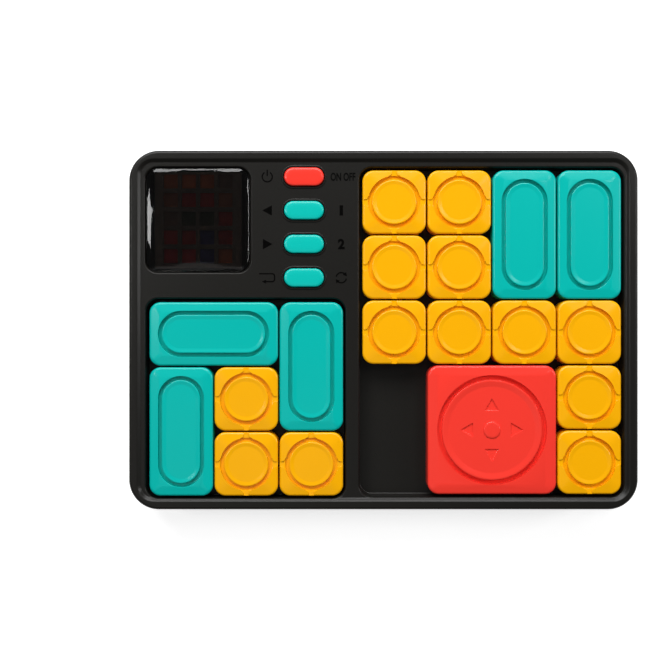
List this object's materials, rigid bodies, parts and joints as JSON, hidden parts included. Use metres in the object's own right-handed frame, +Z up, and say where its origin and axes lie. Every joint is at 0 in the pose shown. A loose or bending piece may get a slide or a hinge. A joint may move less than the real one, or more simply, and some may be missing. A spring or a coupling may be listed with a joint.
{
  "type": "electronic sliding block puzzle",
  "caption": "Hand-held sliding block puzzle: black case with a lit display, push buttons, a board pocket of magnetic tiles and a tray that stores the spare ones.",
  "frame": {"origin": "on the resting plane, below the middle of the case", "axes": "+X across the case towards the tile board, +Y towards the display's edge, +Z up out of the panel"},
  "size_m": [0.18, 0.127, 0.0234],
  "materials": {
    "black_shell": "fine satin texture",
    "smoked_lens": "polished smoked acrylic",
    "white_plastic": "matt",
    "circuit_board": "green solder mask",
    "grey_silicone": "matt",
    "yellow_tile": "satin",
    "teal_tile": "satin",
    "red_tile": "satin",
    "nickel": "nickel plated",
    "screw_steel": "zinc plated",
    "battery_sleeve": "printed sleeve",
    "speaker_frame": "matt"
  },
  "bodies": {
    "case": {"top_housing": "black_shell", "rear_housing": "black_shell", "display_lens": "smoked_lens", "light_grid": "white_plastic", "main_board": "circuit_board", "sensor_board": "circuit_board", "keypad_membrane": "grey_silicone", "battery_1": "battery_sleeve", "battery_2": "battery_sleeve", "contact_plus": "nickel", "contact_minus": "nickel", "contact_bridge": "nickel", "speaker": "speaker_frame", "case_screw_1": "screw_steel", "case_screw_2": "screw_steel", "case_screw_3": "screw_steel", "case_screw_4": "screw_steel"},
    "door": {"battery_door": "black_shell"},
    "power_button": {"power_button": "red_tile"},
    "back_button": {"back_button": "teal_tile"},
    "next_button": {"next_button": "teal_tile"},
    "replay_button": {"replay_button": "teal_tile"},
    "square_tile_01": {"square_tile_01": "yellow_tile", "square_magnet_01": "nickel"},
    "square_tile_02": {"square_tile_02": "yellow_tile", "square_magnet_02": "nickel"},
    "square_tile_03": {"square_tile_03": "yellow_tile", "square_magnet_03": "nickel"},
    "square_tile_04": {"square_tile_04": "yellow_tile", "square_magnet_04": "nickel"},
    "square_tile_05": {"square_tile_05": "yellow_tile", "square_magnet_05": "nickel"},
    "square_tile_06": {"square_tile_06": "yellow_tile", "square_magnet_06": "nickel"},
    "square_tile_07": {"square_tile_07": "yellow_tile", "square_magnet_07": "nickel"},
    "square_tile_08": {"square_tile_08": "yellow_tile", "square_magnet_08": "nickel"},
    "square_tile_09": {"square_tile_09": "yellow_tile", "square_magnet_09": "nickel"},
    "square_tile_10": {"square_tile_10": "yellow_tile", "square_magnet_10": "nickel"},
    "square_tile_11": {"square_tile_11": "yellow_tile", "square_magnet_11": "nickel"},
    "square_tile_12": {"square_tile_12": "yellow_tile", "square_magnet_12": "nickel"},
    "square_tile_13": {"square_tile_13": "yellow_tile", "square_magnet_13": "nickel"},
    "bar_tile_1": {"bar_tile_1": "teal_tile", "bar_magnet_1": "nickel"},
    "bar_tile_2": {"bar_tile_2": "teal_tile", "bar_magnet_2": "nickel"},
    "bar_tile_3": {"bar_tile_3": "teal_tile", "bar_magnet_3": "nickel"},
    "bar_tile_4": {"bar_tile_4": "teal_tile", "bar_magnet_4": "nickel"},
    "bar_tile_5": {"bar_tile_5": "teal_tile", "bar_magnet_5": "nickel"},
    "block_tile": {"block_tile": "red_tile", "block_magnet": "nickel"}
  },
  "joints": [
    {"name": "battery_door_slide", "type": "slide", "parent": "case", "child": "door", "axis": [0, 1, 0], "range_m": [0, 0.04]},
    {"name": "power_button_press", "type": "slide", "parent": "case", "child": "power_button", "axis": [0, 0, -1], "range_m": [0, 0.0006], "stiffness_N_per_m": 1000},
    {"name": "back_button_press", "type": "slide", "parent": "case", "child": "back_button", "axis": [0, 0, -1], "range_m": [0, 0.0006], "stiffness_N_per_m": 1000},
    {"name": "next_button_press", "type": "slide", "parent": "case", "child": "next_button", "axis": [0, 0, -1], "range_m": [0, 0.0006], "stiffness_N_per_m": 1000},
    {"name": "replay_button_press", "type": "slide", "parent": "case", "child": "replay_button", "axis": [0, 0, -1], "range_m": [0, 0.0006], "stiffness_N_per_m": 1000},
    {"name": "square_tile_01_lift", "type": "slide", "parent": "case", "child": "square_tile_01", "axis": [0, 0, 1], "range_m": [0, 0.012]},
    {"name": "square_tile_02_lift", "type": "slide", "parent": "case", "child": "square_tile_02", "axis": [0, 0, 1], "range_m": [0, 0.012]},
    {"name": "square_tile_03_lift", "type": "slide", "parent": "case", "child": "square_tile_03", "axis": [0, 0, 1], "range_m": [0, 0.012]},
    {"name": "square_tile_04_lift", "type": "slide", "parent": "case", "child": "square_tile_04", "axis": [0, 0, 1], "range_m": [0, 0.012]},
    {"name": "square_tile_05_slide", "type": "slide", "parent": "case", "child": "square_tile_05", "axis": [0, -1, 0], "range_m": [0, 0.046]},
    {"name": "square_tile_06_lift", "type": "slide", "parent": "case", "child": "square_tile_06", "axis": [0, 0, 1], "range_m": [0, 0.012]},
    {"name": "square_tile_07_lift", "type": "slide", "parent": "case", "child": "square_tile_07", "axis": [0, 0, 1], "range_m": [0, 0.012]},
    {"name": "square_tile_08_lift", "type": "slide", "parent": "case", "child": "square_tile_08", "axis": [0, 0, 1], "range_m": [0, 0.012]},
    {"name": "square_tile_09_lift", "type": "slide", "parent": "case", "child": "square_tile_09", "axis": [0, 0, 1], "range_m": [0, 0.012]},
    {"name": "square_tile_10_lift", "type": "slide", "parent": "case", "child": "square_tile_10", "axis": [0, 0, 1], "range_m": [0, 0.012]},
    {"name": "square_tile_11_lift", "type": "slide", "parent": "case", "child": "square_tile_11", "axis": [0, 0, 1], "range_m": [0, 0.012]},
    {"name": "square_tile_12_lift", "type": "slide", "parent": "case", "child": "square_tile_12", "axis": [0, 0, 1], "range_m": [0, 0.012]},
    {"name": "square_tile_13_lift", "type": "slide", "parent": "case", "child": "square_tile_13", "axis": [0, 0, 1], "range_m": [0, 0.012]},
    {"name": "bar_tile_1_lift", "type": "slide", "parent": "case", "child": "bar_tile_1", "axis": [0, 0, 1], "range_m": [0, 0.012]},
    {"name": "bar_tile_2_lift", "type": "slide", "parent": "case", "child": "bar_tile_2", "axis": [0, 0, 1], "range_m": [0, 0.012]},
    {"name": "bar_tile_3_lift", "type": "slide", "parent": "case", "child": "bar_tile_3", "axis": [0, 0, 1], "range_m": [0, 0.012]},
    {"name": "bar_tile_4_lift", "type": "slide", "parent": "case", "child": "bar_tile_4", "axis": [0, 0, 1], "range_m": [0, 0.012]},
    {"name": "bar_tile_5_lift", "type": "slide", "parent": "case", "child": "bar_tile_5", "axis": [0, 0, 1], "range_m": [0, 0.012]},
    {"name": "block_tile_slide", "type": "slide", "parent": "case", "child": "block_tile", "axis": [1, 0, 0], "range_m": [-0.023, 0]}
  ]
}
